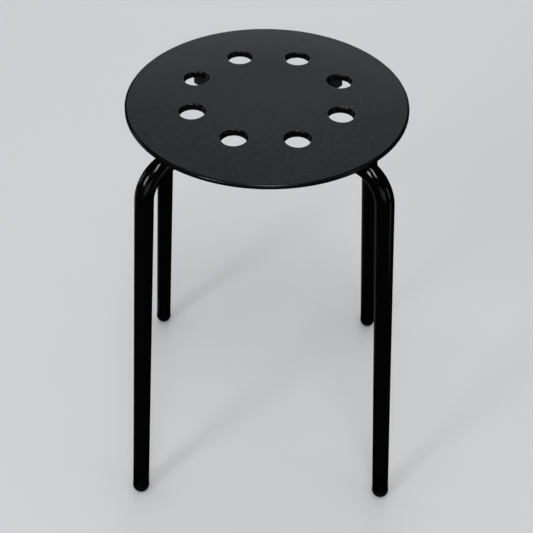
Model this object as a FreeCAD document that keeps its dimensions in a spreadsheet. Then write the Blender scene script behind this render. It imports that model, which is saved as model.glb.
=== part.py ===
"""A round stacking stool: a moulded plastic seat screwed to four bent steel tube legs.

The frame has +Z up and its origin on the floor, under the middle of the seat. The front of the stool
faces -Y. Each leg lies in a vertical plane through the seat's axis, a quarter turn from the next. All
lengths are in millimetres and all angles in degrees.
"""

import FreeCAD, Part
import math
import os
import Sketcher

# Driving sizes: name, value, what it measures
SIZES = (
    ("seat_height", 470, "floor to the flat middle of the seat"),
    ("seat_diameter", 288, "seat over its rim"),
    ("flat_diameter", 116, "flat middle of the seat's top"),
    ("crown_drop", 4, "fall of the top from its flat middle to the rim"),
    ("plate_thickness", 3, "moulded wall of the seat"),
    ("rim_height", 4.2, "depth of the seat's edge"),
    ("rim_width", 3.4, "width of the turned-down edge, seen from below"),
    ("rim_round", 1.8, "rounding of the edge's upper side"),
    ("rim_lower_round", 0.6, "rounding of the edge's lower side"),
    ("hole_diameter", 25.5, "finger holes in the seat"),
    ("hole_ring_diameter", 160, "circle through the middles of the holes"),
    ("hole_count", 8, "holes in the ring"),
    ("hole_round", 1.5, "rounding of a hole's upper edge"),
    ("collar_wall", 2, "wall of the collar around a hole"),
    ("collar_depth", 7.2, "collar's lower edge below the flat middle"),
    ("rib_thickness", 2, "ribs on the underside"),
    ("rib_depth", 11, "ribs' lower edge below the flat middle"),
    ("hub_radius", 22, "middle of the innermost ring rib"),
    ("inner_ring_radius", 46, "middle of the ring rib inside the holes"),
    ("outer_ring_inset", 32, "seat's edge in to the middle of the ring rib outside the holes"),
    ("edge_ring_inset", 16, "seat's edge in to the middle of the outermost ring rib"),
    ("spine_depth", 14, "lower edge of the ribs that run from the hub to the sockets"),
    ("socket_start", 76, "axis of the stool to the closed inner end of a tube's socket"),
    ("socket_mouth", 100, "axis of the stool to the open end of a tube's socket"),
    ("socket_wall", 3.2, "wall of a socket beside the tube"),
    ("socket_depth", 29, "lower face of a socket below the flat middle"),
    ("socket_bevel", 4, "bevel along a socket's lower edges"),
    ("first_leg_angle", 45, "direction of the rear right leg about +Z"),
    ("tube_diameter", 19, "outside of a leg's tube"),
    ("tube_wall", 1.2, "wall of a leg's tube"),
    ("run_depth", 17, "flat middle of the seat down to the tube's centre line"),
    ("run_start", 79, "axis of the stool to the inner end of a tube"),
    ("bend_radius", 32, "centre line of a leg's bend"),
    ("foot_circle_radius", 204.5, "axis of the stool to the middle of a foot"),
    ("leg_lean", 5.7, "a leg's straight part from the vertical"),
    ("foot_diameter", 19.8, "domed foot cap"),
    ("foot_collar", 1.5, "straight band of a foot cap above its dome"),
    ("foot_flat_depth", 0.8, "height of the dome that is cut away as a flat"),
    ("stem_length", 16, "part of a foot cap inside the tube"),
    ("stem_wall", 1.6, "wall of a foot cap inside the tube"),
    ("screw_radius", 89, "axis of the stool to a leg's screw"),
    ("screw_diameter", 6, "thread over its crests"),
    ("screw_length", 25, "screw below its head"),
    ("screw_tip_chamfer", 0.6, "bevel of a screw's end"),
    ("head_diameter", 10.5, "button head"),
    ("head_height", 3.3, "button head"),
    ("head_rim", 0.6, "straight side of a button head"),
    ("hexagon_width", 4, "hexagon recess of a screw across its flats"),
    ("hexagon_depth", 2, "hexagon recess of a screw"),
    ("screw_hole_diameter", 6.6, "hole in a tube or washer for a screw"),
    ("washer_diameter", 14, "saddle washer"),
    ("washer_thickness", 1, "saddle washer at its thinnest"),
    ("washer_height", 3, "saddle washer over its raised sides"),
    ("insert_diameter", 9, "threaded insert"),
    ("insert_length", 5, "threaded insert"),
    ("insert_groove", 0.4, "depth of the groove round an insert"),
    ("insert_groove_width", 1, "width of the groove round an insert"),
    ("washer_gap", 0.3, "play around a washer in the opening under its socket"),
    ("fit_gap", 0.05, "play on each side between pieces that seat on each other"),
)

LEGS = ("rear_right", "rear_left", "front_left", "front_right")

# Heights and radii worked out from the driving sizes, as expressions
TOP = "sizes.seat_height"
SEAT_RADIUS = "sizes.seat_diameter / 2"
FLAT_RADIUS = "sizes.flat_diameter / 2"
RIM_TOP = f"({TOP} - sizes.crown_drop)"
RIM_BOTTOM = f"({RIM_TOP} - sizes.rim_height)"
RIM_INSIDE = f"({SEAT_RADIUS} - sizes.rim_width)"
ROUND_START = f"({SEAT_RADIUS} - sizes.rim_round)"
CROWN_RADIUS = f"((({ROUND_START} - {FLAT_RADIUS})^2 + sizes.crown_drop^2) / (2 * sizes.crown_drop))"
OUTER_RING = f"({SEAT_RADIUS} - sizes.outer_ring_inset)"
EDGE_RING = f"({SEAT_RADIUS} - sizes.edge_ring_inset)"
TUBE_RADIUS = "(sizes.tube_diameter / 2)"
BORE_RADIUS = f"({TUBE_RADIUS} - sizes.tube_wall)"
RUN_HEIGHT = f"({TOP} - sizes.run_depth)"
FOOT_RADIUS = "(sizes.foot_diameter / 2)"
DOME_HEIGHT = f"({FOOT_RADIUS} - sizes.foot_flat_depth)"
CORNER_RADIUS = f"(sizes.foot_circle_radius - ({RUN_HEIGHT} - {DOME_HEIGHT}) * tan(sizes.leg_lean))"
BEND_TANGENT = "(sizes.bend_radius * tan(45 - sizes.leg_lean / 2))"
BEND_START = f"({CORNER_RADIUS} - {BEND_TANGENT})"
STEM_RADIUS = f"({BORE_RADIUS} - sizes.fit_gap)"
STEM_BORE = f"({STEM_RADIUS} - sizes.stem_wall)"
CHANNEL_RADIUS = f"({TUBE_RADIUS} + sizes.fit_gap)"
SOCKET_SIDE = f"({TUBE_RADIUS} + sizes.socket_wall)"
SOCKET_BOTTOM = f"({TOP} - sizes.socket_depth)"
INSERT_BOTTOM = f"({RUN_HEIGHT} + {TUBE_RADIUS} + sizes.fit_gap)"
INSERT_TOP = f"({INSERT_BOTTOM} + sizes.insert_length)"
HEAD_PLANE = f"({RUN_HEIGHT} - {TUBE_RADIUS} - sizes.washer_thickness)"

doc = FreeCAD.newDocument("stacking_stool")
sheet = doc.addObject("Spreadsheet::Sheet", "sizes")
for row, (alias, number, meaning) in enumerate(SIZES, start=1):
    sheet.set(f"A{row}", alias)
    sheet.set(f"B{row}", str(number))
    sheet.setAlias(f"B{row}", alias)
    sheet.set(f"C{row}", meaning)
doc.recompute()


def value(text):
    """Give the number that an expression has now."""
    number = sheet.evalExpression(text)
    return float(getattr(number, "Value", number))


def drop(radius):
    """How far the seat's top has fallen at a radius: nothing in the flat middle, then one large arc."""
    run = f"max({radius} - {FLAT_RADIUS}; 0)"
    return f"({CROWN_RADIUS} - sqrt({CROWN_RADIUS}^2 - {run}^2))"


def new_body(label):
    body = doc.addObject("PartDesign::Body", label)
    body.Label = label
    return body


def origin_feature(body, role):
    return next(part for part in body.Origin.OriginFeatures if part.Role == role)


def new_sketch(body, name, plane, turn=None, lift=(), turn_axis=(0, 0, 1)):
    """Put a sketch on one of the body's own planes, turned in it and lifted by named expressions."""
    sketch = body.newObject("Sketcher::SketchObject", name)
    sketch.AttachmentSupport = (origin_feature(body, plane), [""])
    sketch.MapMode = "FlatFace"
    if turn:
        sketch.AttachmentOffset = FreeCAD.Placement(
            FreeCAD.Vector(0, 0, 0), FreeCAD.Rotation(FreeCAD.Vector(*turn_axis), value(turn)))
        sketch.setExpression("AttachmentOffset.Rotation.Angle", turn)
    for axis, text in lift:
        sketch.setExpression(f"AttachmentOffset.Base.{axis}", text)
    return sketch


def hold(sketch, edge, end, x, y):
    """Tie a point of an edge to the place given by two expressions."""
    for kind, text, axis in (("DistanceX", x, -2), ("DistanceY", y, -1)):
        if text == "0":
            sketch.addConstraint(Sketcher.Constraint("PointOnObject", edge, end, axis))
        elif text:
            index = sketch.addConstraint(Sketcher.Constraint(kind, -1, 1, edge, end, value(text)))
            sketch.setExpression(f"Constraints[{index}]", text)


def trace(sketch, corners, arcs=None, closed=True):
    """Draw edges from corner to corner, each corner a pair of expressions.

    arcs gives, for the edge that leaves a corner, the expression of its centre's first coordinate. The
    other one follows, because the centre is as far from one end as from the other.
    """
    arcs = arcs or {}
    points = [FreeCAD.Vector(value(x), value(y), 0) for x, y in corners]
    spans = len(points) if closed else len(points) - 1
    base = sketch.GeometryCount
    leaving, arriving = {}, {}
    for i in range(spans):
        j = (i + 1) % len(points)
        start, end = points[i], points[j]
        leaving[i], arriving[j] = (base + i, 1), (base + i, 2)
        if i not in arcs:
            sketch.addGeometry(Part.LineSegment(start, end))
            continue
        middle_x = value(arcs[i])
        rise = (end.x - middle_x) ** 2 - (start.x - middle_x) ** 2 + end.y ** 2 - start.y ** 2
        centre = FreeCAD.Vector(middle_x, rise / (2 * (end.y - start.y)), 0)
        first, last = start - centre, end - centre
        if first.cross(last).z < 0:
            first, last = last, first
            leaving[i], arriving[j] = arriving[j], leaving[i]
        circle = Part.Circle(centre, FreeCAD.Vector(0, 0, 1), first.Length)
        from_angle, to_angle = math.atan2(first.y, first.x), math.atan2(last.y, last.x)
        if to_angle < from_angle:
            to_angle += 2 * math.pi
        sketch.addGeometry(Part.ArcOfCircle(circle, from_angle, to_angle))
    for i in range(len(points)):
        if i in leaving and i in arriving:
            sketch.addConstraint(Sketcher.Constraint("Coincident", *arriving[i], *leaving[i]))
        hold(sketch, *(leaving[i] if i in leaving else arriving[i]), *corners[i])
    for i, text in arcs.items():
        hold(sketch, base + i, 3, text, None)


def circle(sketch, x, y, radius):
    edge = sketch.addGeometry(Part.Circle(
        FreeCAD.Vector(value(x), value(y), 0), FreeCAD.Vector(0, 0, 1), value(radius)))
    hold(sketch, edge, 3, x, y)
    index = sketch.addConstraint(Sketcher.Constraint("Radius", edge, value(radius)))
    sketch.setExpression(f"Constraints[{index}]", radius)


def rectangle(sketch, x_low, x_high, y_low, y_high):
    trace(sketch, ((x_low, y_low), (x_high, y_low), (x_high, y_high), (x_low, y_high)))


def pad(body, sketch, length):
    feature = body.newObject("PartDesign::Pad", f"{sketch.Name}_pad")
    feature.Profile = sketch
    feature.setExpression("Length", length)
    return feature


def pocket(body, sketch, length=None, reverse=False, both_ways=False):
    feature = body.newObject("PartDesign::Pocket", f"{sketch.Name}_pocket")
    feature.Profile = sketch
    feature.Reversed = reverse
    if both_ways:
        feature.SideType = "Symmetric"
    if length:
        feature.setExpression("Length", length)
    else:
        feature.Type = "ThroughAll"
    return feature


def revolve(body, sketch):
    feature = body.newObject("PartDesign::Revolution", f"{sketch.Name}_revolution")
    feature.Profile = sketch
    feature.ReferenceAxis = (sketch, ["V_Axis"])
    return feature


def repeat_around(body, features, name, count):
    """Repeat features in equal steps about the stool's axis; count is a number's expression."""
    pattern = body.newObject("PartDesign::PolarPattern", name)
    pattern.Originals = features
    pattern.Axis = (origin_feature(body, "Z_Axis"), [""])
    pattern.Angle = 360
    pattern.setExpression("Occurrences", count)
    body.Tip = pattern
    return pattern


def round_edges(body, name, radius, wanted):
    """Round the edges of the body so far that a test picks out."""
    doc.recompute()
    rough = body.Tip
    names = [f"Edge{i}" for i, edge in enumerate(rough.Shape.Edges, start=1) if wanted(edge)]
    feature = body.newObject("PartDesign::Fillet", name)
    feature.Base = (rough, names)
    feature.setExpression("Radius", radius)
    body.Tip = feature


def make_seat():
    """The seat: a crowned disc with a turned-down edge, collared holes and ribs that hold the tubes."""
    body = new_body("seat")

    section = new_sketch(body, "seat_section", "XZ_Plane")
    trace(section, (
        ("0", TOP),
        (FLAT_RADIUS, TOP),
        (ROUND_START, RIM_TOP),
        (SEAT_RADIUS, f"{RIM_TOP} - sizes.rim_round"),
        (SEAT_RADIUS, RIM_BOTTOM),
        (RIM_INSIDE, RIM_BOTTOM),
        (RIM_INSIDE, f"{TOP} - sizes.plate_thickness - {drop(RIM_INSIDE)}"),
        (FLAT_RADIUS, f"{TOP} - sizes.plate_thickness"),
        ("0", f"{TOP} - sizes.plate_thickness"),
    ), arcs={1: FLAT_RADIUS, 2: ROUND_START, 6: FLAT_RADIUS})
    revolve(body, section)

    def rib_sketch(name, turn=None, depth="sizes.rib_depth"):
        return new_sketch(body, name, "XY_Plane", turn, (("z", f"{TOP} - {depth}"),))

    def rib_pad(sketch, reach, depth="sizes.rib_depth"):
        """Raise ribs to a level that lies inside the plate from the middle out to a radius."""
        return pad(body, sketch, f"{depth} - (sizes.plate_thickness + {drop(reach)}) / 2")

    half_rib = "sizes.rib_thickness / 2"
    rings = (("hub", "sizes.hub_radius"), ("inner_ring", "sizes.inner_ring_radius"),
             ("outer_ring", OUTER_RING), ("edge_ring", EDGE_RING))
    for name, middle in rings:
        ring = rib_sketch(f"{name}_rib")
        circle(ring, "0", "0", f"{middle} + {half_rib}")
        circle(ring, "0", "0", f"{middle} - {half_rib}")
        rib_pad(ring, f"({middle} + {half_rib})")

    spoke = rib_sketch("spoke_rib")
    rectangle(spoke, "sizes.hub_radius", EDGE_RING, f"-{half_rib}", half_rib)
    spokes = rib_pad(spoke, EDGE_RING)

    spine = rib_sketch("spine_rib", "sizes.first_leg_angle", "sizes.spine_depth")
    rectangle(spine, "sizes.hub_radius", "sizes.socket_start + sizes.rib_thickness",
              f"-{half_rib}", half_rib)
    spines = rib_pad(spine, "sizes.socket_start", "sizes.spine_depth")

    def across_leg(name, start):
        """A sketch square to the first leg's run, at a distance from the stool's axis."""
        return new_sketch(body, name, "YZ_Plane", "sizes.first_leg_angle", (
            ("x", f"{start} * sin(sizes.first_leg_angle)"),
            ("z", f"{start} * cos(sizes.first_leg_angle)"),
        ), turn_axis=(0, 1, 0))

    inside_plate = f"{TOP} - (sizes.plate_thickness + {drop('sizes.socket_mouth')}) / 2"
    socket = across_leg("tube_socket", "sizes.socket_start")
    trace(socket, (
        (f"-{SOCKET_SIDE}", inside_plate),
        (f"-{SOCKET_SIDE}", f"{SOCKET_BOTTOM} + sizes.socket_bevel"),
        (f"sizes.socket_bevel - {SOCKET_SIDE}", SOCKET_BOTTOM),
        (f"{SOCKET_SIDE} - sizes.socket_bevel", SOCKET_BOTTOM),
        (SOCKET_SIDE, f"{SOCKET_BOTTOM} + sizes.socket_bevel"),
        (SOCKET_SIDE, inside_plate),
    ))
    sockets = pad(body, socket, "sizes.socket_mouth - sizes.socket_start")
    leg_count = str(len(LEGS))
    repeat_around(body, [spokes, spines, sockets], "sockets_around", leg_count)

    first_hole_angle = "180 / sizes.hole_count"
    hole_middle = "sizes.hole_ring_diameter / 2"
    collar = rib_sketch("hole_collar", first_hole_angle, "sizes.collar_depth")
    circle(collar, hole_middle, "0", "sizes.hole_diameter / 2 + sizes.collar_wall")
    collar_reach = "(sizes.hole_ring_diameter / 2 + sizes.hole_diameter / 2 + sizes.collar_wall)"
    collars = rib_pad(collar, collar_reach, "sizes.collar_depth")
    repeat_around(body, [collars], "collars_around", "sizes.hole_count")

    hole = new_sketch(body, "hole", "XY_Plane", first_hole_angle, (("z", TOP),))
    circle(hole, hole_middle, "0", "sizes.hole_diameter / 2")
    holes = pocket(body, hole)
    repeat_around(body, [holes], "holes_around", "sizes.hole_count")

    channel_start = "(sizes.run_start - sizes.fit_gap)"
    channel = across_leg("tube_channel", channel_start)
    circle(channel, "0", RUN_HEIGHT, CHANNEL_RADIUS)
    channel_length = f"{EDGE_RING} + 2 * sizes.rib_thickness - {channel_start}"
    channels = pocket(body, channel, channel_length, reverse=True)

    def at_run_height(name, radius):
        sketch = new_sketch(body, name, "XY_Plane", "sizes.first_leg_angle", (("z", RUN_HEIGHT),))
        circle(sketch, "sizes.screw_radius", "0", radius)
        return sketch

    insert_bore = at_run_height("insert_bore", "sizes.insert_diameter / 2 + sizes.fit_gap")
    bores = pocket(body, insert_bore, f"{INSERT_TOP} + sizes.fit_gap - {RUN_HEIGHT}", reverse=True)
    opening = at_run_height("washer_opening", "sizes.washer_diameter / 2 + sizes.washer_gap")
    openings = pocket(body, opening)
    repeat_around(body, [channels, bores, openings], "channels_around", leg_count)

    hole_radius, ring_radius = value("sizes.hole_diameter / 2"), value(hole_middle)
    rim_bottom, seat_radius = value(RIM_BOTTOM), value(SEAT_RADIUS)
    crown_low = value(RIM_TOP)

    def is_hole_rim(edge):
        """True for an upper edge of a hole: all of it lies on the hole's wall and on the seat's top."""
        for vertex in edge.discretize(5):
            angle = math.atan2(vertex.y, vertex.x)
            step = 2 * math.pi / value("sizes.hole_count")
            middle = (round(angle / step - 0.5) + 0.5) * step
            away = math.hypot(vertex.x - ring_radius * math.cos(middle),
                              vertex.y - ring_radius * math.sin(middle))
            if abs(away - hole_radius) > 0.01 or vertex.z < crown_low:
                return False
        return True

    def is_lower_rim(edge):
        return all(abs(vertex.z - rim_bottom) < 0.01
                   and abs(math.hypot(vertex.x, vertex.y) - seat_radius) < 0.01
                   for vertex in edge.discretize(5))

    round_edges(body, "hole_rounding", "sizes.hole_round", is_hole_rim)
    round_edges(body, "rim_rounding", "sizes.rim_lower_round", is_lower_rim)
    return body


def make_leg(label):
    """A leg: one tube that runs out under the seat, bends down and leans outwards to the floor."""
    body = new_body(label)
    path = new_sketch(body, f"{label}_path", "XZ_Plane")
    trace(path, (
        ("sizes.run_start", RUN_HEIGHT),
        (BEND_START, RUN_HEIGHT),
        (f"{CORNER_RADIUS} + {BEND_TANGENT} * sin(sizes.leg_lean)",
         f"{RUN_HEIGHT} - {BEND_TANGENT} * cos(sizes.leg_lean)"),
        ("sizes.foot_circle_radius - sizes.foot_collar * sin(sizes.leg_lean)",
         f"{DOME_HEIGHT} + sizes.foot_collar * cos(sizes.leg_lean)"),
    ), arcs={1: BEND_START}, closed=False)
    section = new_sketch(body, f"{label}_section", "YZ_Plane", lift=(("z", "sizes.run_start"),))
    circle(section, "0", RUN_HEIGHT, TUBE_RADIUS)
    circle(section, "0", RUN_HEIGHT, BORE_RADIUS)
    pipe = body.newObject("PartDesign::AdditivePipe", f"{label}_pipe")
    pipe.Profile = section
    pipe.Spine = (path, [f"Edge{i}" for i in (1, 2, 3)])
    holes = new_sketch(body, f"{label}_screw_holes", "XY_Plane", lift=(("z", TOP),))
    circle(holes, "sizes.screw_radius", "0", "sizes.screw_hole_diameter / 2")
    pocket(body, holes)
    return body


def make_foot_cap(label):
    """A foot cap: a dome with a small flat for the floor, and a hollow stem pushed into the tube."""
    body = new_body(label)
    section = new_sketch(body, f"{label}_section", "XZ_Plane", "sizes.leg_lean",
                         (("x", "sizes.foot_circle_radius"), ("y", DOME_HEIGHT)))
    trace(section, (
        ("0", f"-{FOOT_RADIUS}"),
        (FOOT_RADIUS, "0"),
        (FOOT_RADIUS, "sizes.foot_collar"),
        (STEM_RADIUS, "sizes.foot_collar"),
        (STEM_RADIUS, "sizes.foot_collar + sizes.stem_length"),
        (STEM_BORE, "sizes.foot_collar + sizes.stem_length"),
        (STEM_BORE, "sizes.foot_collar"),
        ("0", "sizes.foot_collar"),
    ), arcs={0: "0"})
    revolve(body, section)
    floor = new_sketch(body, f"{label}_floor", "XY_Plane")
    circle(floor, "sizes.foot_circle_radius", "0", "sizes.foot_diameter")
    pocket(body, floor, "sizes.foot_diameter")
    return body


def make_screw(label):
    """A button-head screw with a hexagon recess; its head is at the lower end."""
    body = new_body(label)
    head_radius = "sizes.head_diameter / 2"
    shank = "sizes.screw_diameter / 2"
    tip = f"{HEAD_PLANE} + sizes.screw_length"
    section = new_sketch(body, f"{label}_section", "XZ_Plane")
    trace(section, (
        ("0", f"{HEAD_PLANE} - sizes.head_height"),
        (head_radius, f"{HEAD_PLANE} - sizes.head_rim"),
        (head_radius, HEAD_PLANE),
        (shank, HEAD_PLANE),
        (shank, f"{tip} - sizes.screw_tip_chamfer"),
        (f"{shank} - sizes.screw_tip_chamfer", tip),
        ("0", tip),
    ), arcs={0: "0"})
    revolve(body, section)
    hexagon = new_sketch(body, f"{label}_hexagon", "XY_Plane",
                         lift=(("z", f"{HEAD_PLANE} - sizes.head_height"),))
    corner = "sizes.hexagon_width / sqrt(3)"
    trace(hexagon, [(f"{corner} * cos({30 + 60 * k})", f"{corner} * sin({30 + 60 * k})") for k in range(6)])
    pocket(body, hexagon, "sizes.hexagon_depth", reverse=True)
    return body


def make_washer(label):
    """A saddle washer: flat below for the screw's head, hollowed above to sit on the tube."""
    body = new_body(label)
    section = new_sketch(body, f"{label}_section", "XZ_Plane")
    rectangle(section, "sizes.screw_hole_diameter / 2", "sizes.washer_diameter / 2",
              HEAD_PLANE, f"{HEAD_PLANE} + sizes.washer_height")
    revolve(body, section)
    saddle = new_sketch(body, f"{label}_saddle", "YZ_Plane")
    circle(saddle, "0", RUN_HEIGHT, CHANNEL_RADIUS)
    pocket(body, saddle, "2 * sizes.washer_diameter", both_ways=True)
    return body


def make_insert(label):
    """A threaded insert: a brass sleeve with one groove that the moulded plastic grips."""
    body = new_body(label)
    inside = "sizes.screw_diameter / 2 + sizes.fit_gap"
    outside = "sizes.insert_diameter / 2"
    middle = f"({INSERT_BOTTOM} + sizes.insert_length / 2)"
    section = new_sketch(body, f"{label}_section", "XZ_Plane")
    trace(section, (
        (inside, INSERT_BOTTOM),
        (outside, INSERT_BOTTOM),
        (outside, f"{middle} - sizes.insert_groove_width / 2"),
        (f"{outside} - sizes.insert_groove", f"{middle} - sizes.insert_groove_width / 2"),
        (f"{outside} - sizes.insert_groove", f"{middle} + sizes.insert_groove_width / 2"),
        (outside, f"{middle} + sizes.insert_groove_width / 2"),
        (outside, INSERT_TOP),
        (inside, INSERT_TOP),
    ))
    revolve(body, section)
    return body


def place(body, turn, radius=None):
    """Turn a piece about the stool's axis to its leg, after moving it out to a radius."""
    angle = math.radians(turn)
    out = value(radius) if radius else 0
    body.Placement = FreeCAD.Placement(
        FreeCAD.Vector(out * math.cos(angle), out * math.sin(angle), 0),
        FreeCAD.Rotation(FreeCAD.Vector(0, 0, 1), turn))
    return body


pieces = [make_seat()]
for number, leg in enumerate(LEGS):
    leg_angle = value("sizes.first_leg_angle") + number * 360 / len(LEGS)
    pieces.append(place(make_leg(f"leg_{leg}"), leg_angle))
    pieces.append(place(make_foot_cap(f"foot_cap_{leg}"), leg_angle))
    pieces.append(place(make_screw(f"screw_{leg}"), leg_angle, "sizes.screw_radius"))
    pieces.append(place(make_washer(f"washer_{leg}"), leg_angle, "sizes.screw_radius"))
    pieces.append(place(make_insert(f"insert_{leg}"), leg_angle, "sizes.screw_radius"))
doc.recompute()

for item in doc.Objects:
    if {"Invalid", "Error"} & set(item.State):
        raise RuntimeError(f"{item.Label} could not be worked out: {item.State}")
for piece in pieces:
    if piece.Shape.isNull() or not piece.Shape.isValid() or len(piece.Shape.Solids) != 1:
        raise RuntimeError(f"{piece.Label} is not one valid solid")

os.makedirs("parts", exist_ok=True)
for piece in pieces:
    piece.Shape.exportStep(f"parts/{piece.Label}.step")
print(f"{len(pieces)} pieces")
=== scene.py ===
"""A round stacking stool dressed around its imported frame: one moulded seat on four bent steel tubes.

Directions are the frame's: +Z up, the front of the stool towards -Y, the origin on the floor under the
middle of the seat. Shapes are worked out in millimetres and stored in metres. What repeats round the seat
is worked out along +X, as points that give outwards, across and up, and is then swung round the axis.
"""

import math

import bmesh
import bpy
import numpy as np
from mathutils import Matrix, Vector


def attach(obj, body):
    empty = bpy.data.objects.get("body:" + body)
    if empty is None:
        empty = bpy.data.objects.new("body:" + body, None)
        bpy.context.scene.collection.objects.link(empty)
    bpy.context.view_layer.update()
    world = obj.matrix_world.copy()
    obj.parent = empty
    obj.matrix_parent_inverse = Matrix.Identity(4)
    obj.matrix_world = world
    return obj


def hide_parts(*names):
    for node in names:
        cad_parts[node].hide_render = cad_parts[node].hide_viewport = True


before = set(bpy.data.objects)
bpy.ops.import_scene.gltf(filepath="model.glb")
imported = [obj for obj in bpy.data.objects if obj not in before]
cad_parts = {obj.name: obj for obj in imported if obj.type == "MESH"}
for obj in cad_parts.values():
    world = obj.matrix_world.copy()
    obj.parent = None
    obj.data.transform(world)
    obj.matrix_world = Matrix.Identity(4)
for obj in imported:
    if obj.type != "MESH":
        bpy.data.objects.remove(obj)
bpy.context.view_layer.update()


# Seat plate
# One injection moulding in black polypropylene, 288 mm across and 3 mm thick, with a crowned top, eight
# finger holes and a turned-down edge. The mould half for the top face is spark-eroded to a fine grain,
# while the edge and the insides of the holes come from polished steel and are smooth.

MILLIMETRE = 0.001
SEAT_TOP = 470.0
SEAT_RADIUS = 144.0
PLATE = 3.0
FLAT_RADIUS = 58.0
CROWN_DROP = 4.0
RIM_ROUND = 1.8
RIM_DEPTH = 4.2
RIM_WALL = 3.4
RIM_BAND = 0.7
RIM_BOTTOM = SEAT_TOP - CROWN_DROP - RIM_DEPTH
RIM_INSIDE = SEAT_RADIUS - RIM_WALL
UNDER_RIM = RIM_INSIDE - 4.0
CROWN_REACH = SEAT_RADIUS - RIM_ROUND - FLAT_RADIUS
CROWN_ARC = (CROWN_REACH**2 + CROWN_DROP**2) / (2 * CROWN_DROP)
HOLES = 8
HOLE_RING = 80.0
HOLE_RADIUS = 12.75
HOLE_ROUND = 1.5
COLLAR_RADIUS = HOLE_RADIUS + 2.0
COLLAR_BOTTOM = SEAT_TOP - 7.2
FILLET = 0.8
BROKEN_EDGE = 0.4
MARGIN = 0.3
SECTOR = 360.0 / HOLES
SECTOR_INSIDE = FLAT_RADIUS
SECTOR_OUTSIDE = 102.0
OUTSIDE_STEPS = 52
SIDE_STEPS = 22
INSIDE_STEPS = 32


def linear(hex_colour):
    """Turn an sRGB hex value into the linear colour that a shader works in."""
    parts = np.array([int(hex_colour[i:i + 2], 16) for i in (1, 3, 5)]) / 255
    parts = np.where(parts <= 0.04045, parts / 12.92, ((parts + 0.055) / 1.055) ** 2.4)
    return (*parts.tolist(), 1.0)


def waves(size):
    """Scale of a pattern on coordinates in metres whose waves are so many millimetres long."""
    return 1000 / size


def new_material(name):
    """A material without any nodes: its shader and its output are added next."""
    material = bpy.data.materials.new(name)
    material.use_nodes = True
    material.node_tree.nodes.clear()
    return material


def add_node(owner, kind, settings=None, links=None):
    """Add one node: settings are its properties or input values, links the outputs that feed its inputs.

    The stops of a colour ramp are a setting too, each a place along it and an sRGB colour.
    """
    node = owner.node_tree.nodes.new(kind)
    for key, setting in (settings or {}).items():
        if key == "stops":
            for stop, (place, hex_colour) in zip(node.color_ramp.elements, setting):
                stop.position = place
                stop.color = linear(hex_colour)
        elif isinstance(key, str) and hasattr(node, key):
            setattr(node, key, setting)
        else:
            node.inputs[key].default_value = setting
    for key, output in (links or {}).items():
        owner.node_tree.links.new(output, node.inputs[key])
    return node


def grid_faces(grid, start):
    """The quads between neighbouring points of a grid whose points are numbered on from start."""
    number = start + np.arange(grid.shape[0] * grid.shape[1]).reshape(grid.shape[:2])
    corners = (number[:-1, :-1], number[1:, :-1], number[1:, 1:], number[:-1, 1:])
    return np.stack(corners, axis=-1).reshape(-1, 4)


def add_piece(name, patches, materials, slot, *nodes):
    """Make one piece of several grids of points, each with the number of its material.

    Rows that meet are merged, a row that shrinks to a point closes there, and the closed skin's faces are
    turned outwards.
    """
    points, faces, finishes = [], [], []
    start = 0
    for grid, finish in patches:
        quads = grid_faces(grid, start)
        points.append(grid.reshape(-1, 3) * MILLIMETRE)
        faces.append(quads)
        finishes.append(np.full(len(quads), finish))
        start += grid.shape[0] * grid.shape[1]
    mesh = bpy.data.meshes.new(name)
    mesh.from_pydata(np.concatenate(points).tolist(), [], np.concatenate(faces).tolist())
    mesh.polygons.foreach_set("material_index", np.concatenate(finishes))
    skin = bmesh.new()
    skin.from_mesh(mesh)
    bmesh.ops.remove_doubles(skin, verts=skin.verts, dist=1e-6)
    bmesh.ops.recalc_face_normals(skin, faces=skin.faces)
    skin.to_mesh(mesh)
    skin.free()
    mesh.polygons.foreach_set("use_smooth", np.ones(len(mesh.polygons), bool))
    for material in materials:
        mesh.materials.append(material)
    piece = bpy.data.objects.new(name, mesh)
    bpy.context.scene.collection.objects.link(piece)
    if nodes:
        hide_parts(*nodes)
    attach(piece, "root")


def rounded(corners, radii, steps=5):
    """A profile of straight lines whose inner corners become arcs that touch both of their lines.

    One more point lies on each line just outside an arc, so that the smooth shading of the arc doesn't
    spread over the flat next to it.
    """
    corners = np.asarray(corners, float)
    profile = [corners[:1]]
    for before, corner, after, radius in zip(corners[:-2], corners[1:-1], corners[2:], radii):
        back = (before - corner) / np.linalg.norm(before - corner)
        ahead = (after - corner) / np.linalg.norm(after - corner)
        half = 0.5 * math.acos(np.clip(back @ ahead, -1, 1))
        middle = corner + (back + ahead) / np.linalg.norm(back + ahead) * radius / math.sin(half)
        first = corner + back * radius / math.tan(half)
        last = corner + ahead * radius / math.tan(half)
        swing = math.pi - 2 * half
        t = np.linspace(0, 1, steps + 1)[:, None]
        arc = middle + (np.sin((1 - t) * swing) * (first - middle) + np.sin(t * swing) * (last - middle)
                        ) / math.sin(swing)
        profile += [first[None] + 0.25 * radius * back, arc, last[None] + 0.25 * radius * ahead]
    profile.append(corners[-1:])
    return np.concatenate(profile)


def turned(profile, count):
    """Carry a profile of radius and height once round the stool's axis in equal steps."""
    angle = np.linspace(0, 2 * np.pi, count + 1) + math.radians(SECTOR / 2)
    radius, height = profile[:, :1], profile[:, 1:]
    return np.stack((radius * np.cos(angle), radius * np.sin(angle), height + 0 * angle), axis=-1)


def swung(grid, turn):
    """Swing a grid of outwards, across and up round the stool's axis, by degrees from +X towards +Y."""
    angle = math.radians(turn)
    spin = ((math.cos(angle), math.sin(angle), 0), (-math.sin(angle), math.cos(angle), 0), (0, 0, 1))
    return grid @ np.array(spin)


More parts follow.
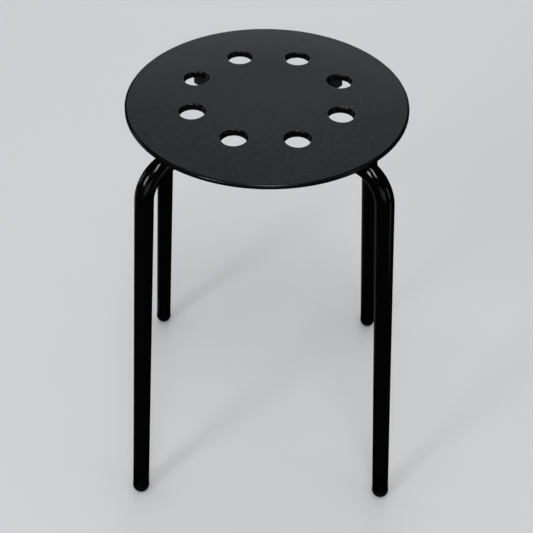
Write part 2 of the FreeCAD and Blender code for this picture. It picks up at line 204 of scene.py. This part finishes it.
def crown(radius):
    """Height of the seat's top: level in the middle, then one large arc down to the rim."""
    run = np.maximum(radius - FLAT_RADIUS, 0.0)
    return SEAT_TOP - CROWN_ARC + np.sqrt(CROWN_ARC**2 - run**2)


def crowned(radius, fall=0.0):
    """Profile that follows the crown at some radii, so far under the seat's top."""
    return np.stack((radius, crown(radius) - fall), axis=-1)


def sector_outline():
    """Plan of the eighth of a ring that holds one hole: out along an arc, in, back along an arc, out."""
    half = math.radians(SECTOR / 2)
    turn = np.concatenate((np.linspace(-half, half, OUTSIDE_STEPS + 1)[:-1], np.full(SIDE_STEPS, half),
                           np.linspace(half, -half, INSIDE_STEPS + 1)[:-1], np.full(SIDE_STEPS + 1, -half)))
    radius = np.concatenate((np.full(OUTSIDE_STEPS, SECTOR_OUTSIDE),
                             np.linspace(SECTOR_OUTSIDE, SECTOR_INSIDE, SIDE_STEPS + 1)[:-1],
                             np.full(INSIDE_STEPS, SECTOR_INSIDE),
                             np.linspace(SECTOR_INSIDE, SECTOR_OUTSIDE, SIDE_STEPS + 1)))
    return np.stack((radius * np.cos(turn), radius * np.sin(turn)), axis=-1)


def around_hole(reach):
    """A circle for each radius round a hole, its points in step with the sector's outline."""
    count = OUTSIDE_STEPS + INSIDE_STEPS + 2 * SIDE_STEPS
    angle = 2 * np.pi * (np.arange(count + 1) - OUTSIDE_STEPS / 2) / count
    way = np.stack((np.cos(angle), np.sin(angle)), axis=-1)
    return np.array((HOLE_RING, 0.0)) + np.asarray(reach, float).reshape(-1, 1, 1) * way


def under_crown(plan, fall):
    """Give a plan its heights, each row so far under the seat's crowned top."""
    radius = np.linalg.norm(plan, axis=-1)
    return np.concatenate((plan, (crown(radius) - np.reshape(fall, (-1, 1)))[..., None]), axis=-1)


def at_height(plan, height):
    """Give each row of a plan one level height."""
    level = np.broadcast_to(np.reshape(height, (-1, 1)), plan.shape[:2])
    return np.concatenate((plan, level[..., None]), axis=-1)


def hole_patches():
    """One sector: its top from the lip out, its hole's wall with the collar below, and its underside.

    Between the hole and the sector's outline the plan is a blend of the two, row by row.
    """
    spread = np.array((0, 0.03, 0.1, 0.2, 0.35, 0.5, 0.68, 0.84, 1.0)).reshape(-1, 1, 1)
    outline = sector_outline() * spread
    top = around_hole(HOLE_RADIUS + HOLE_ROUND + MARGIN) * (1 - spread) + outline
    below = around_hole(COLLAR_RADIUS + FILLET) * (1 - spread) + outline
    swing = np.linspace(0, np.pi / 2, 9)
    lip = under_crown(around_hole(HOLE_RADIUS + HOLE_ROUND * (1 - np.sin(swing))),
                      HOLE_ROUND * (1 - np.cos(swing)))
    wall = rounded(((HOLE_RADIUS, 3.0), (HOLE_RADIUS, 0.0), (COLLAR_RADIUS, 0.0), (COLLAR_RADIUS, 2.0)),
                   (BROKEN_EDGE, BROKEN_EDGE), 3)
    collar = at_height(around_hole(wall[:, 0]), COLLAR_BOTTOM + wall[:, 1])
    root = np.linspace(0, np.pi / 2, 5)
    fillet = under_crown(around_hole(COLLAR_RADIUS + FILLET * (1 - np.cos(root))),
                         PLATE + FILLET * (1 - np.sin(root)))
    return ((np.concatenate((lip[1::-1], under_crown(top, 0.0))), 0),
            (np.concatenate((lip[1:], collar, fillet)), 1),
            (under_crown(below, PLATE), 2))


def seat_plate_patches():
    """The plate as grids: 0 is the grained top, 1 the smooth edge and hole walls, 2 the underside."""
    patches = [(swung(grid, SECTOR * (number + 0.5)), finish)
               for grid, finish in hole_patches() for number in range(HOLES)]
    middle = np.array((0.0, 8, 20, 32, 44, SECTOR_INSIDE))
    count = HOLES * INSIDE_STEPS
    patches += [(turned(crowned(middle), count), 0), (turned(crowned(middle, PLATE), count), 2)]

    tilt = math.asin(CROWN_REACH / CROWN_ARC)
    pivot = np.array((SEAT_RADIUS - RIM_ROUND, SEAT_TOP - CROWN_DROP - RIM_ROUND))
    swing = np.linspace(tilt, np.pi / 2, 13)[:, None]
    bend = pivot + RIM_ROUND * np.concatenate((np.sin(swing), np.cos(swing)), axis=-1)
    shoulder = crowned(bend[0, 0] - np.array((RIM_BAND, MARGIN, 0.0)))
    lower = rounded((bend[-1], (SEAT_RADIUS, RIM_BOTTOM), (RIM_INSIDE, RIM_BOTTOM),
                     crowned(RIM_INSIDE, PLATE), crowned(UNDER_RIM, PLATE)), (0.6, BROKEN_EDGE, FILLET), 4)
    rim = np.concatenate((shoulder, bend[1:], lower[1:]))
    slope = crowned(np.linspace(SECTOR_OUTSIDE, shoulder[0, 0], 15))
    below = crowned(np.linspace(UNDER_RIM, SECTOR_OUTSIDE, 8), PLATE)
    count = HOLES * OUTSIDE_STEPS
    patches += [(turned(slope, count), 0), (turned(rim, count), 1), (turned(below, count), 2)]
    return patches


# Polypropylene from a spark-eroded mould: even charcoal, dull, and faintly mottled where the grain of
# the tool differs. The grain is 0.3 mm on a real seat, and is drawn about 1 mm wide so that it shows, in
# waves of 2 mm over patches of 55 mm. The bump is finer.
grained = new_material("polypropylene_spark_eroded")
place = add_node(grained, "ShaderNodeTexCoord")
mottle = add_node(grained, "ShaderNodeTexNoise", {"Scale": waves(2.08), "Detail": 3.0, "Roughness": 0.6},
                  {"Vector": place.outputs["Object"]})
patchy = add_node(grained, "ShaderNodeTexNoise", {"Scale": waves(55.6), "Detail": 3.0, "Roughness": 0.55},
                  {"Vector": place.outputs["Object"]})
blend = add_node(grained, "ShaderNodeMix", {"data_type": "FLOAT", "Factor": 0.15},
                 {"A": mottle.outputs["Fac"], "B": patchy.outputs["Fac"]})
tint = add_node(grained, "ShaderNodeValToRGB", {"stops": ((0.34, "#090b0d"), (0.66, "#26292d"))},
                {"Fac": blend.outputs["Result"]})
relief = add_node(grained, "ShaderNodeTexNoise", {"Scale": waves(1.18), "Detail": 2.0},
                  {"Vector": place.outputs["Object"]})
bump = add_node(grained, "ShaderNodeBump", {"Strength": 0.4, "Distance": 0.0004},
                {"Height": relief.outputs["Fac"]})
sheen = add_node(grained, "ShaderNodeMapRange", {"To Min": 0.5, "To Max": 0.6},
                 {"Value": patchy.outputs["Fac"]})
shader = add_node(grained, "ShaderNodeBsdfPrincipled", {"IOR": 1.49},
                  {"Base Color": tint.outputs["Color"], "Roughness": sheen.outputs["Result"],
                   "Normal": bump.outputs["Normal"]})
add_node(grained, "ShaderNodeOutputMaterial", links={"Surface": shader.outputs["BSDF"]})

# Polypropylene from polished steel: nearly black, with clear reflections that soften a little over
# ripples 6 mm long.
smooth = new_material("polypropylene_polished")
place = add_node(smooth, "ShaderNodeTexCoord")
ripple = add_node(smooth, "ShaderNodeTexNoise", {"Scale": waves(6.25), "Detail": 2.0},
                  {"Vector": place.outputs["Object"]})
bump = add_node(smooth, "ShaderNodeBump", {"Strength": 0.08, "Distance": 0.0003},
                {"Height": ripple.outputs["Fac"]})
sheen = add_node(smooth, "ShaderNodeMapRange", {"To Min": 0.18, "To Max": 0.26},
                 {"Value": ripple.outputs["Fac"]})
shader = add_node(smooth, "ShaderNodeBsdfPrincipled", {"Base Color": linear("#0b0b0c"), "IOR": 1.49},
                  {"Roughness": sheen.outputs["Result"], "Normal": bump.outputs["Normal"]})
add_node(smooth, "ShaderNodeOutputMaterial", links={"Surface": shader.outputs["BSDF"]})

# Polypropylene from plain milled steel, as on the underside: black and satin, with a faint drag 11 mm
# long where the melt ran, and a shade lighter than the top as painted fill light for the shaded underside.
milled = new_material("polypropylene_milled")
place = add_node(milled, "ShaderNodeTexCoord")
drag = add_node(milled, "ShaderNodeTexNoise", {"Scale": waves(11.1), "Detail": 4.0, "Roughness": 0.6},
                {"Vector": place.outputs["Object"]})
# The ramp's colours are lighter than the grained top's: painted fill light, as the underside lies in shade.
tint = add_node(milled, "ShaderNodeValToRGB", {"stops": ((0.35, "#1d1f21"), (0.7, "#2a2c2f"))},
                {"Fac": drag.outputs["Fac"]})
bump = add_node(milled, "ShaderNodeBump", {"Strength": 0.12, "Distance": 0.0004},
                {"Height": drag.outputs["Fac"]})
shader = add_node(milled, "ShaderNodeBsdfPrincipled", {"Roughness": 0.42, "IOR": 1.49},
                  {"Base Color": tint.outputs["Color"], "Normal": bump.outputs["Normal"]})
add_node(milled, "ShaderNodeOutputMaterial", links={"Surface": shader.outputs["BSDF"]})

add_piece("seat_plate", seat_plate_patches(), (grained, smooth, milled), "seat_plastic", "seat")


# Ribs under the seat
# Part of the same moulding: four ring ribs, four spokes to the edge and four deeper spines from the hub
# to the tube sockets, each 2 mm thick with its lower edges broken.

HALF_RIB = 1.0
RIB_BOTTOM = SEAT_TOP - 11.0
SPINE_BOTTOM = SEAT_TOP - 14.0
HUB_RING = 22.0
EDGE_RING = SEAT_RADIUS - 16.0
RING_RIBS = (HUB_RING, 46.0, SEAT_RADIUS - 32.0, EDGE_RING)
RING_STEPS = 192
SPOKES = 4
SPINE_END = 77.0
LEG_TURNS = (("rear_right", 45.0), ("rear_left", 135.0), ("front_left", 225.0), ("front_right", 315.0))


def ring_rib(radius):
    """A rib's section, from inside the plate down, round its edge and up again, carried round the axis."""
    buried = crown(radius) - PLATE / 2
    inside, outside = radius - HALF_RIB, radius + HALF_RIB
    section = rounded(((inside, buried), (inside, RIB_BOTTOM), (outside, RIB_BOTTOM), (outside, buried)),
                      (BROKEN_EDGE, BROKEN_EDGE), 3)
    return turned(np.concatenate((section, section[:1])), RING_STEPS)


def straight_rib(end, bottom):
    """A rib's section carried out from the hub's ring, its top buried in the crowned plate.

    The section's height is 0 at the rib's bottom and 1 in the plate, and each end shrinks to a point.
    """
    section = rounded(((0, 1), (-HALF_RIB, 1), (-HALF_RIB, 0), (HALF_RIB, 0), (HALF_RIB, 1), (0, 1)),
                      (0.01, BROKEN_EDGE, BROKEN_EDGE, 0.01), 3)
    out = np.concatenate(((HUB_RING,), np.linspace(HUB_RING, end, 12), (end,)))[:, None]
    across = np.broadcast_to(section[:, 0], (len(out), len(section))).copy()
    buried = crown(out) - PLATE / 2
    height = np.where(section[:, 1] < 0.5, bottom + section[:, 1], buried)
    across[[0, -1]] = 0
    height[[0, -1]] = (bottom + buried[[0, -1]]) / 2
    return np.stack(np.broadcast_arrays(out, across, height), axis=-1)


rib_patches = [(ring_rib(radius), 0) for radius in RING_RIBS]
rib_patches += [(swung(straight_rib(EDGE_RING, RIB_BOTTOM), 360 / SPOKES * k), 0) for k in range(SPOKES)]
rib_patches += [(swung(straight_rib(SPINE_END, SPINE_BOTTOM), turn), 0) for leg, turn in LEG_TURNS]
add_piece("seat_ribs", rib_patches, (milled,), "seat_plastic")


# Tube sockets
# Part of the same moulding: a box under the seat at each leg, closed towards the middle and open
# outwards, that the tube is pushed into. A round opening below takes the screw with its washer.

SOCKET_START = SPINE_END - 1.0
SOCKET_MOUTH = 100.0
SOCKET_SIDE = 12.7
SOCKET_BOTTOM = SEAT_TOP - 29.0
SOCKET_TOP = SEAT_TOP - PLATE / 2 - 1.0
SOCKET_BEVEL = 4.0
START_ROUND = 1.2
MOUTH_ROUND = 0.6
SCREW_RADIUS = 89.0
OPENING_RADIUS = 7.3
OPENING_DEPTH = 4.5
LENGTH_STEPS = 24
FLOOR_STEPS = 16


def socket_patches():
    """A section of a bevelled box carried outwards, with rounded ends and a round opening in its floor."""
    flat = SOCKET_SIDE - SOCKET_BEVEL
    shoulder = SOCKET_BOTTOM + SOCKET_BEVEL
    around = rounded(((-flat, SOCKET_BOTTOM), (-SOCKET_SIDE, shoulder), (-SOCKET_SIDE, SOCKET_TOP),
                      (SOCKET_SIDE, SOCKET_TOP), (SOCKET_SIDE, shoulder), (flat, SOCKET_BOTTOM)),
                     (1.5, 0.1, 0.1, 1.5), 5)
    floor_line = np.linspace((flat, SOCKET_BOTTOM), (-flat, SOCKET_BOTTOM), FLOOR_STEPS + 1)
    section = np.concatenate((around, floor_line[1:]))
    middle = np.array((0.0, (SOCKET_BOTTOM + SOCKET_TOP) / 2))
    size = np.array((SOCKET_SIDE, (SOCKET_TOP - SOCKET_BOTTOM) / 2))

    def station(out, inset):
        """The section at a distance out, drawn in evenly by an inset."""
        shrunk = middle + (section - middle) * (1 - inset / size)
        return np.concatenate((np.full((len(section), 1), out), shrunk), axis=-1)

    def rounded_end(end, inwards, radius):
        """A quarter circle of stations from a point in the middle of an end out to the full section."""
        cap = np.broadcast_to(np.array((end, *middle)), (len(section), 3))
        rows = [station(end + inwards * radius * (1 - math.cos(a)), radius * (1 - math.sin(a)))
                for a in np.linspace(0, np.pi / 2, 6)]
        return np.array((cap, *rows))

    along = np.linspace(SOCKET_START + START_ROUND, SOCKET_MOUTH - MOUTH_ROUND, LENGTH_STEPS + 1)
    body = np.array([station(out, 0.0)[:len(around)] for out in along])

    side = np.linspace(-flat, flat, FLOOR_STEPS + 1)
    out = np.concatenate((along[:-1], np.full(FLOOR_STEPS, along[-1]), along[:0:-1],
                          np.full(FLOOR_STEPS + 1, along[0])))
    across = np.concatenate((np.full(LENGTH_STEPS, -flat), side[:-1],
                             np.full(LENGTH_STEPS, flat), side[::-1]))
    outline = np.stack((out, across), axis=-1)
    centre = np.array((SCREW_RADIUS, 0.0))
    way = (outline - centre) / np.linalg.norm(outline - centre, axis=-1, keepdims=True)
    circle = centre + OPENING_RADIUS * way
    spread = np.array((1.0, 0.6, 0.25, 0.0, 0.0, 0.0)).reshape(-1, 1, 1)
    plan = np.concatenate((circle * (1 - spread) + outline * spread, np.full((1, *outline.shape), centre)))
    rise = np.array((0.0, 0.0, 0.0, 0.0, 0.2, OPENING_DEPTH, OPENING_DEPTH))
    return (rounded_end(SOCKET_START, 1, START_ROUND), body,
            rounded_end(SOCKET_MOUTH, -1, MOUTH_ROUND), at_height(plan, SOCKET_BOTTOM + rise))


add_piece("seat_sockets", [(swung(grid, turn), 0) for leg, turn in LEG_TURNS for grid in socket_patches()],
          (milled,), "seat_plastic")


# Legs
# Each leg is one welded steel tube, 19 by 1.2 mm, bent once on a 32 mm former and powder-coated gloss
# black. It runs out from its socket, turns down past the seat's edge and leans out by 5.7 degrees.

TUBE_RADIUS = 9.5
TUBE_WALL = 1.2
RUN_START = 79.0
RUN_HEIGHT = SEAT_TOP - 17.0
BEND_RADIUS = 32.0
LEAN = math.radians(5.7)
FOOT_CIRCLE = 204.5
FOOT_RADIUS = 9.9
FOOT_COLLAR = 1.5
DOME_HEIGHT = FOOT_RADIUS - 0.8
CORNER = FOOT_CIRCLE - (RUN_HEIGHT - DOME_HEIGHT) * math.tan(LEAN)
BEND_START = CORNER - BEND_RADIUS * math.tan(math.pi / 4 - LEAN / 2)
RUN_STEPS = 5
BEND_STEPS = 40
STRAIGHT_STEPS = 11
ROUND_TUBE = np.linspace(0, 2 * np.pi, 73)


def tube_skin():
    """A circle carried along the leg's line: a run, an arc and a straight leaning down to the foot cap.

    The skin goes down the outside, in over the cut end, up the bore and out over the other end.
    """
    bend = np.linspace(0, np.pi / 2 - LEAN, BEND_STEPS + 1)
    run = np.linspace((RUN_START, RUN_HEIGHT), (BEND_START, RUN_HEIGHT), RUN_STEPS + 1)
    arc = np.stack((BEND_START + BEND_RADIUS * np.sin(bend),
                    RUN_HEIGHT - BEND_RADIUS * (1 - np.cos(bend))), axis=-1)
    end = (FOOT_CIRCLE - FOOT_COLLAR * math.sin(LEAN), DOME_HEIGHT + FOOT_COLLAR * math.cos(LEAN))
    straight = np.linspace(arc[-1], end, STRAIGHT_STEPS + 1)
    line = np.concatenate((run[:-1], arc, straight[1:]))
    heading = np.concatenate((np.zeros(RUN_STEPS), bend, np.full(STRAIGHT_STEPS, bend[-1])))
    count = len(line)
    order = np.concatenate((np.arange(count), np.arange(count)[::-1], (0,)))
    radius = np.repeat((TUBE_RADIUS, TUBE_RADIUS - TUBE_WALL, TUBE_RADIUS), (count, count, 1))[:, None]
    away = radius * np.cos(ROUND_TUBE)
    out = line[order, :1] + away * np.sin(heading[order, None])
    height = line[order, 1:] + away * np.cos(heading[order, None])
    return np.stack((out, radius * np.sin(ROUND_TUBE), height), axis=-1)


# Gloss black powder coat: a deep black with crisp reflections, drawn out a little by the slight orange
# peel that every powder coat has, in waves of about 3 mm. Handling leaves it duller in places.
powder = new_material("powder_coat_gloss_black")
place = add_node(powder, "ShaderNodeTexCoord")
peel = add_node(powder, "ShaderNodeTexNoise", {"Scale": waves(3.33), "Detail": 1.0},
                {"Vector": place.outputs["Object"]})
bump = add_node(powder, "ShaderNodeBump", {"Strength": 0.05, "Distance": 0.0003},
                {"Height": peel.outputs["Fac"]})
handled = add_node(powder, "ShaderNodeTexNoise", {"Scale": waves(45.5), "Detail": 4.0, "Roughness": 0.6},
                   {"Vector": place.outputs["Object"]})
sheen = add_node(powder, "ShaderNodeMapRange",
                 {"From Min": 0.35, "From Max": 0.75, "To Min": 0.1, "To Max": 0.2},
                 {"Value": handled.outputs["Fac"]})
shader = add_node(powder, "ShaderNodeBsdfPrincipled", {"Base Color": linear("#050505"), "IOR": 1.5},
                  {"Roughness": sheen.outputs["Result"], "Normal": bump.outputs["Normal"]})
add_node(powder, "ShaderNodeOutputMaterial", links={"Surface": shader.outputs["BSDF"]})

for leg, turn in LEG_TURNS:
    add_piece(f"tube_{leg}", [(swung(tube_skin(), turn), 0)], (powder,), "tube", f"leg_{leg}")


# Foot caps
# Each foot is a domed plug moulded in black polyethylene, pushed into the end of the tube by a hollow
# stem. Its band is a shade wider than the tube, and the dome has a small flat where it stands.

STEM_RADIUS = TUBE_RADIUS - TUBE_WALL - 0.05
STEM_BORE = STEM_RADIUS - 1.6
STEM_TOP = FOOT_COLLAR + 16.0


def foot_cap_skin():
    """A profile turned about the leaning tube's own line, cut off level at the floor."""
    swing = np.linspace(0, np.pi / 2, 25)[:, None]
    dome = FOOT_RADIUS * np.concatenate((np.sin(swing), -np.cos(swing)), axis=-1)
    stem = rounded((dome[-1], (FOOT_RADIUS, FOOT_COLLAR), (STEM_RADIUS, FOOT_COLLAR),
                    (STEM_RADIUS, STEM_TOP), (STEM_BORE, STEM_TOP), (STEM_BORE, FOOT_COLLAR),
                    (0, FOOT_COLLAR)),
                   (0.3, 0.1, BROKEN_EDGE, BROKEN_EDGE, 0.1), 3)
    profile = np.concatenate((dome, stem[1:]))
    sideways = profile[:, :1] * np.cos(ROUND_TUBE)
    across = profile[:, :1] * np.sin(ROUND_TUBE)
    along = profile[:, 1:]
    out = FOOT_CIRCLE + sideways * math.cos(LEAN) - along * math.sin(LEAN)
    height = np.maximum(DOME_HEIGHT + sideways * math.sin(LEAN) + along * math.cos(LEAN), 0.0)
    return np.stack((out, across, height), axis=-1)


# Moulded polyethylene: black, a little waxy, scuffed dull in spots of 2 mm over the lowest 6 mm, where it
# meets the floor.
waxy = new_material("polyethylene_moulded")
place = add_node(waxy, "ShaderNodeTexCoord")
scuff = add_node(waxy, "ShaderNodeTexNoise", {"Scale": waves(3.85), "Detail": 5.0, "Roughness": 0.7},
                 {"Vector": place.outputs["Object"]})
height = add_node(waxy, "ShaderNodeSeparateXYZ", links={"Vector": place.outputs["Object"]})
low = add_node(waxy, "ShaderNodeMapRange",
               {"From Min": 0.0, "From Max": 0.006, "To Min": 1.0, "To Max": 0.0},
               {"Value": height.outputs["Z"]})
worn = add_node(waxy, "ShaderNodeMath", {"operation": "MULTIPLY"},
                {0: scuff.outputs["Fac"], 1: low.outputs["Result"]})
tint = add_node(waxy, "ShaderNodeValToRGB", {"stops": ((0.15, "#0a0a0b"), (0.6, "#2c2b29"))},
                {"Fac": worn.outputs["Value"]})
sheen = add_node(waxy, "ShaderNodeMapRange", {"To Min": 0.3, "To Max": 0.6},
                 {"Value": worn.outputs["Value"]})
bump = add_node(waxy, "ShaderNodeBump", {"Strength": 0.1, "Distance": 0.0003},
                {"Height": scuff.outputs["Fac"]})
shader = add_node(waxy, "ShaderNodeBsdfPrincipled", {"IOR": 1.5, "Specular IOR Level": 0.4},
                  {"Base Color": tint.outputs["Color"], "Roughness": sheen.outputs["Result"],
                   "Normal": bump.outputs["Normal"]})
add_node(waxy, "ShaderNodeOutputMaterial", links={"Surface": shader.outputs["BSDF"]})

for leg, turn in LEG_TURNS:
    add_piece(f"foot_{leg}", [(swung(foot_cap_skin(), turn), 0)], (waxy,), "cap_plastic",
              f"foot_cap_{leg}")


# Screws, washers and inserts
# One M6 button-head screw with a saddle washer holds each tube in its socket, and turns into a brass
# insert that is moulded in above the tube. Screw and washer are zinc-plated steel.

WASHER_THICKNESS = 1.0
HEAD_PLANE = RUN_HEIGHT - TUBE_RADIUS - WASHER_THICKNESS
HEAD_RADIUS = 5.25
HEAD_HEIGHT = 3.3
HEAD_BAND = 0.6
HEAD_BOTTOM = HEAD_PLANE - HEAD_HEIGHT
SHANK_RADIUS = 3.0
SHANK_TOP = HEAD_PLANE + 25.0
TIP = 0.6
HEXAGON = 4.0
RECESS_DEPTH = 2.0
RECESS_CONE = 0.4
RECESS_BEVEL = 0.15
RECESS_MOUTH = 2.9


def screw_skin():
    """A turned head and shank, with a hexagon recess that opens from a circle of as many points."""
    around = np.linspace(0, 2 * np.pi, 49)
    hexagon = HEXAGON / 2 / np.cos((around + np.pi / 6) % (np.pi / 3) - np.pi / 6)
    dome = HEAD_HEIGHT - HEAD_BAND
    ball = (HEAD_RADIUS**2 + dome**2) / (2 * dome)
    reach = np.linspace(RECESS_MOUTH, HEAD_RADIUS, 9)
    cap = np.stack((reach, HEAD_BOTTOM + ball - np.sqrt(ball**2 - reach**2)), axis=-1)
    shank = rounded((cap[-1], (HEAD_RADIUS, HEAD_PLANE), (SHANK_RADIUS, HEAD_PLANE),
                     (SHANK_RADIUS, SHANK_TOP - TIP), (SHANK_RADIUS - TIP, SHANK_TOP), (0.0, SHANK_TOP)),
                    (0.2, 0.05, 0.2, 0.1), 3)
    skin = np.concatenate((cap, shank[1:]))
    mouth = cap[0, 1]
    bottom = HEAD_BOTTOM + RECESS_DEPTH
    radius = np.concatenate(((0 * around, hexagon, hexagon, hexagon + RECESS_BEVEL),
                             np.repeat(skin[:, :1], len(around), axis=1)))
    height = np.concatenate(((bottom + RECESS_CONE, bottom, mouth + RECESS_BEVEL, mouth), skin[:, 1]))
    out = SCREW_RADIUS + radius * np.cos(around)
    return np.stack((out, radius * np.sin(around), height[:, None] + 0 * around), axis=-1)


# Zinc-plated steel: a cool grey metal, bright but cloudy, in clouds of 1.4 mm.
zinc = new_material("steel_zinc_plated")
place = add_node(zinc, "ShaderNodeTexCoord")
cloud = add_node(zinc, "ShaderNodeTexNoise", {"Scale": waves(1.43), "Detail": 4.0},
                 {"Vector": place.outputs["Object"]})
sheen = add_node(zinc, "ShaderNodeMapRange", {"To Min": 0.24, "To Max": 0.42},
                 {"Value": cloud.outputs["Fac"]})
shader = add_node(zinc, "ShaderNodeBsdfPrincipled", {"Base Color": linear("#b4b7ba"), "Metallic": 0.6},
                  {"Roughness": sheen.outputs["Result"]})
add_node(zinc, "ShaderNodeOutputMaterial", links={"Surface": shader.outputs["BSDF"]})

# Turned brass: warm yellow, with rings 0.35 mm apart left by the tool. A wave texture of Scale 1 repeats
# every pi / 10, hence the factor.
brass = new_material("brass_turned")
place = add_node(brass, "ShaderNodeTexCoord")
rings = add_node(brass, "ShaderNodeTexWave", {"bands_direction": "Z", "Scale": waves(0.35) * math.pi / 10},
                 {"Vector": place.outputs["Object"]})
sheen = add_node(brass, "ShaderNodeMapRange", {"To Min": 0.25, "To Max": 0.4},
                 {"Value": rings.outputs["Fac"]})
shader = add_node(brass, "ShaderNodeBsdfPrincipled", {"Base Color": linear("#c9a659"), "Metallic": 1.0},
                  {"Roughness": sheen.outputs["Result"]})
add_node(brass, "ShaderNodeOutputMaterial", links={"Surface": shader.outputs["BSDF"]})

for leg, turn in LEG_TURNS:
    add_piece(f"button_head_{leg}", [(swung(screw_skin(), turn), 0)], (zinc,), "fastener", f"screw_{leg}")
    for kind, metal in (("washer", zinc), ("insert", brass)):
        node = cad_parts[f"{kind}_{leg}"]
        node.data.materials.clear()
        node.data.materials.append(metal)


# Camera
# The photograph looks down on the stool from the front, through a lens of about 69 mm on full frame. The
# values come from fitting the seat's outline, the holes and the legs' edges.

PICTURE_WIDTH = 533
FOCUS_IN_PIXELS = 1019.03
SENSOR_WIDTH = 36.0
DISTANCE = 1187.72
ELEVATION = math.radians(42.205)
AZIMUTH = math.radians(0.563)
ROLL = math.radians(0.859)
AIM_RIGHT = 1.8535
AIM_HEIGHT = 236.69

back = Vector((math.sin(AZIMUTH) * math.cos(ELEVATION), -math.cos(AZIMUTH) * math.cos(ELEVATION),
               math.sin(ELEVATION)))
level = Vector((math.cos(AZIMUTH), math.sin(AZIMUTH), 0))
right = level * math.cos(ROLL) + back.cross(level) * math.sin(ROLL)
up = back.cross(right)
spot = (level * AIM_RIGHT + Vector((0, 0, AIM_HEIGHT)) + back * DISTANCE) * MILLIMETRE
lens = bpy.data.cameras.new("photograph")
lens.sensor_width = SENSOR_WIDTH
lens.lens = FOCUS_IN_PIXELS / PICTURE_WIDTH * SENSOR_WIDTH
lens.clip_start = 0.01
lens.clip_end = 50.0
camera = bpy.data.objects.new("photograph", lens)
camera.matrix_world = Matrix(((*right, 0), (*up, 0), (*back, 0), (*spot, 1))).transposed()
bpy.context.scene.collection.objects.link(camera)
bpy.context.scene.camera = camera


# Floor and surround
# A plain pale floor in an even surround that is lighter near the horizon than overhead. The gloss mirrors
# neither, as between black cards, so that the tubes stay black outside their highlights.

FLOOR_REACH = 8.0

bpy.context.scene.view_settings.view_transform = "Standard"

floor_mesh = bpy.data.meshes.new("floor")
floor_mesh.from_pydata([(-FLOOR_REACH, -FLOOR_REACH, 0), (FLOOR_REACH, -FLOOR_REACH, 0),
                        (FLOOR_REACH, FLOOR_REACH, 0), (-FLOOR_REACH, FLOOR_REACH, 0)], [], [(0, 1, 2, 3)])
floor = bpy.data.objects.new("floor", floor_mesh)
floor.visible_glossy = False
bpy.context.scene.collection.objects.link(floor)
pale = new_material("floor_pale")
shader = add_node(pale, "ShaderNodeBsdfPrincipled", {"Base Color": linear("#dededf"), "Roughness": 0.7})
add_node(pale, "ShaderNodeOutputMaterial", links={"Surface": shader.outputs["BSDF"]})
floor_mesh.materials.append(pale)

surround = bpy.data.worlds.new("surround")
surround.use_nodes = True
surround.node_tree.nodes.clear()
bpy.context.scene.world = surround
surround.cycles_visibility.glossy = False
place = add_node(surround, "ShaderNodeTexCoord")
upward = add_node(surround, "ShaderNodeSeparateXYZ", links={"Vector": place.outputs["Generated"]})
shade = add_node(surround, "ShaderNodeValToRGB", {"stops": ((0.0, "#f4f5f6"), (1.0, "#c6c9cc"))},
                 {"Fac": upward.outputs["Z"]})
even = add_node(surround, "ShaderNodeBackground", {"Strength": 0.86}, {"Color": shade.outputs["Color"]})
add_node(surround, "ShaderNodeOutputWorld", links={"Surface": even.outputs["Background"]})


# Lamps
# Two tall lamps in front draw the streaks on the legs' bends, a small one above glints on the rims, a wide
# low one behind lightens the far side of the seat, and strips at the sides and a dim glow in front draw
# lines on the tubes. Three glows under the floor light nothing and only show as lines along their edges.

SEAT_MIDDLE = Vector((0, 0, 0.45))


def add_lamp(name, bearing, elevation, distance, width, height, power):
    """A rectangular lamp that faces the seat, from a bearing in degrees clockwise from the back."""
    away, lift = math.radians(bearing), math.radians(elevation)
    outward = Vector((math.sin(away) * math.cos(lift), math.cos(away) * math.cos(lift), math.sin(lift)))
    lamp = bpy.data.lights.new(name, "AREA")
    lamp.shape = "RECTANGLE"
    lamp.size = width
    lamp.size_y = height
    lamp.energy = power
    holder = bpy.data.objects.new(name, lamp)
    holder.location = outward * distance + SEAT_MIDDLE
    holder.rotation_euler = outward.to_track_quat("Z", "Y").to_euler()
    holder.visible_camera = False
    bpy.context.scene.collection.objects.link(holder)


add_lamp("lamp_front", 175, 65, 2.2, 0.4, 1.1, 10)
add_lamp("lamp_front_left", -138, 32, 2.2, 0.4, 0.8, 8)
add_lamp("lamp_above", 4, 66, 2.2, 0.5, 0.4, 2.6)
add_lamp("lamp_behind", 2, 11, 3.0, 3.0, 0.4, 13)
add_lamp("lamp_side_left", -70, 9, 2.5, 0.25, 1.1, 1.5)
add_lamp("lamp_side_right", 115, 9, 2.5, 0.25, 1.1, 1.5)
add_lamp("glow_left", -70, -22, 2.5, 0.4, 0.9, 0.6)
add_lamp("glow_right", 115, -22, 2.5, 0.4, 0.9, 0.4)
add_lamp("glow_front", 175, 5, 2.5, 1.6, 1.1, 2)
add_lamp("glow_behind", -40, -47, 2.5, 2.2, 0.9, 0.5)
